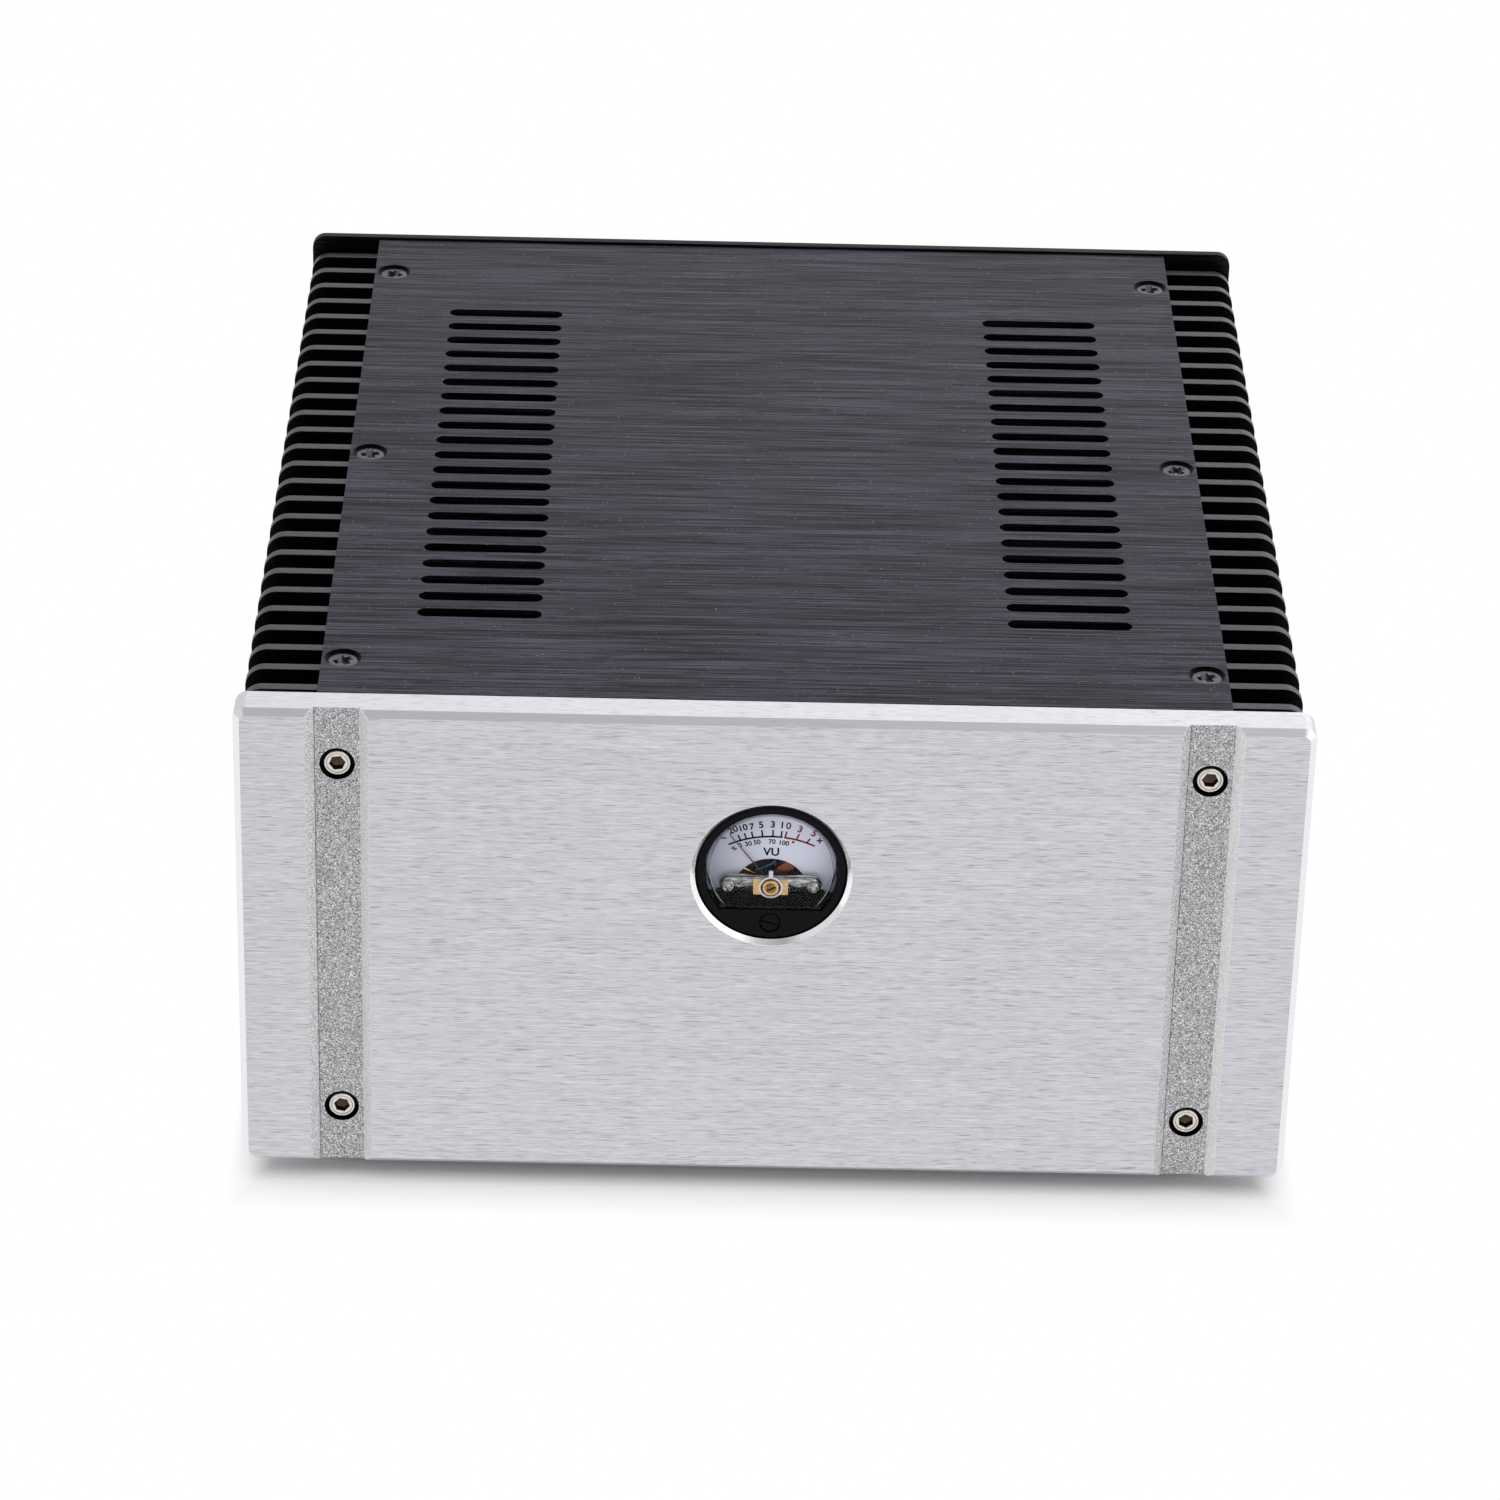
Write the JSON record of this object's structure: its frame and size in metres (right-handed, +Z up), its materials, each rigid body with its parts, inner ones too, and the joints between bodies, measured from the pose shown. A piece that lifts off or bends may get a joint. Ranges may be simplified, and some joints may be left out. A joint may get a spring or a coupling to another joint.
{
  "type": "stereo power amplifier",
  "caption": "Stereo power amplifier with thick brushed front panel, round level meter, side heat sinks, vented cover, rear inputs, speaker posts and mains inlet.",
  "frame": {"origin": "on the ground under the middle of the whole amplifier, connectors included", "axes": "+X to the right seen from the front, +Y to the back, +Z up; the front panel faces -Y"},
  "size_m": [0.32, 0.3642, 0.166],
  "materials": {
    "brushed_silver": "brushed, clear anodised",
    "brushed_black": "brushed, black anodised",
    "black_anodised": "extruded, black anodised",
    "nickel_steel": "nickel plated",
    "black_steel": "black zinc plated",
    "foot_rubber": "moulded",
    "wound_coil": "taped winding",
    "zinc_steel": "zinc plated",
    "circuit_board": "green solder mask",
    "capacitor_can": "black sleeve",
    "black_epoxy": "moulded",
    "black_plastic": "moulded, fine grain",
    "rocker_plastic": "moulded",
    "red_plastic": "moulded",
    "fuse_glass": "clear tube",
    "gold_brass": "gold plated",
    "meter_black": "moulded",
    "clear_acrylic": "polished",
    "dial_face": "printed",
    "magnet_iron": "blackened",
    "chromed_brass": "bright",
    "needle_red": "dark red paint",
    "bright_aluminium": "milled"
  },
  "bodies": {
    "chassis": {"front_panel": "brushed_silver", "top_cover": "brushed_black", "bottom_plate": "brushed_black", "rear_panel": "black_anodised", "heat_sink_left": "black_anodised", "heat_sink_right": "black_anodised", "front_screw_1": "nickel_steel", "front_screw_2": "nickel_steel", "front_screw_3": "nickel_steel", "front_screw_4": "nickel_steel", "cover_screw_1": "black_steel", "cover_screw_2": "black_steel", "cover_screw_3": "black_steel", "cover_screw_4": "black_steel", "cover_screw_5": "black_steel", "cover_screw_6": "black_steel", "foot_1": "foot_rubber", "foot_2": "foot_rubber", "foot_3": "foot_rubber", "foot_4": "foot_rubber", "transformer": "wound_coil", "transformer_washer": "zinc_steel", "transformer_bolt": "zinc_steel", "supply_board": "circuit_board", "filter_capacitor_left": "capacitor_can", "filter_capacitor_right": "capacitor_can", "amp_board_left": "circuit_board", "amp_board_right": "circuit_board", "output_transistor_1": "black_epoxy", "output_transistor_2": "black_epoxy", "output_transistor_3": "black_epoxy", "output_transistor_4": "black_epoxy", "mains_inlet": "black_plastic", "input_jack_right": "gold_brass", "input_jack_left": "gold_brass", "post_base_1": "gold_brass", "post_base_2": "gold_brass", "post_base_3": "gold_brass", "post_base_4": "gold_brass", "meter_bezel": "meter_black", "meter_window": "clear_acrylic", "meter_dial": "dial_face", "meter_housing": "meter_black", "meter_magnet": "magnet_iron", "meter_bridge": "chromed_brass", "meter_clamp": "bright_aluminium"},
    "needle": {"meter_needle": "needle_red"},
    "zero_screw": {"zero_adjust_screw": "meter_black"},
    "zero_lever": {"zero_adjust_lever": "bright_aluminium"},
    "rocker": {"power_rocker": "rocker_plastic"},
    "drawer": {"fuse_drawer": "black_plastic", "fuse": "fuse_glass"},
    "washer_1": {"post_washer_1": "gold_brass"},
    "cap_1": {"post_cap_1": "red_plastic"},
    "washer_2": {"post_washer_2": "gold_brass"},
    "cap_2": {"post_cap_2": "black_plastic"},
    "washer_3": {"post_washer_3": "gold_brass"},
    "cap_3": {"post_cap_3": "red_plastic"},
    "washer_4": {"post_washer_4": "gold_brass"},
    "cap_4": {"post_cap_4": "black_plastic"}
  },
  "joints": [
    {"name": "needle_swing", "type": "hinge", "parent": "chassis", "child": "needle", "pos_m": [0, -0.1686, 0.1055], "axis": [0, 1, 0], "range_deg": [0, 80], "stiffness_Nm_per_rad": 0.002},
    {"name": "zero_screw_turn", "type": "hinge", "parent": "chassis", "child": "zero_screw", "pos_m": [0, -0.1806, 0.0953], "axis": [0, 1, 0], "range_deg": [-30, 30]},
    {"name": "zero_lever_swing", "type": "hinge", "parent": "chassis", "child": "zero_lever", "pos_m": [0, -0.1806, 0.1055], "axis": [0, 1, 0], "range_deg": [-5, 5]},
    {"name": "power_rocker_tilt", "type": "hinge", "parent": "chassis", "child": "rocker", "pos_m": [-0.078, 0.1603, 0.0825], "axis": [1, 0, 0], "range_deg": [0, 20]},
    {"name": "fuse_drawer_slide", "type": "slide", "parent": "chassis", "child": "drawer", "axis": [0, 1, 0], "range_m": [0, 0.016]},
    {"name": "post_cap_turn_1", "type": "hinge", "parent": "washer_1", "child": "cap_1", "pos_m": [0.0315, 0.1615, 0.0693], "axis": [0, 1, 0], "range_deg": [0, 1440]},
    {"name": "post_washer_slide_1", "type": "slide", "parent": "chassis", "child": "washer_1", "axis": [0, 1, 0], "range_m": [0, 0.004]},
    {"name": "post_cap_turn_2", "type": "hinge", "parent": "washer_2", "child": "cap_2", "pos_m": [0.0505, 0.1615, 0.0693], "axis": [0, 1, 0], "range_deg": [0, 1440]},
    {"name": "post_washer_slide_2", "type": "slide", "parent": "chassis", "child": "washer_2", "axis": [0, 1, 0], "range_m": [0, 0.004]},
    {"name": "post_cap_turn_3", "type": "hinge", "parent": "washer_3", "child": "cap_3", "pos_m": [0.0815, 0.1615, 0.0693], "axis": [0, 1, 0], "range_deg": [0, 1440]},
    {"name": "post_washer_slide_3", "type": "slide", "parent": "chassis", "child": "washer_3", "axis": [0, 1, 0], "range_m": [0, 0.004]},
    {"name": "post_cap_turn_4", "type": "hinge", "parent": "washer_4", "child": "cap_4", "pos_m": [0.1005, 0.1615, 0.0693], "axis": [0, 1, 0], "range_deg": [0, 1440]},
    {"name": "post_washer_slide_4", "type": "slide", "parent": "chassis", "child": "washer_4", "axis": [0, 1, 0], "range_m": [0, 0.004]}
  ],
  "couplings": [
    {"joint": "zero_lever_swing", "follows": "zero_screw_turn", "ratio": -0.1333},
    {"joint": "post_cap_turn_1", "follows": "post_washer_slide_1", "rad_per_m": 6283},
    {"joint": "post_cap_turn_2", "follows": "post_washer_slide_2", "rad_per_m": 6283},
    {"joint": "post_cap_turn_3", "follows": "post_washer_slide_3", "rad_per_m": 6283},
    {"joint": "post_cap_turn_4", "follows": "post_washer_slide_4", "rad_per_m": 6283}
  ]
}
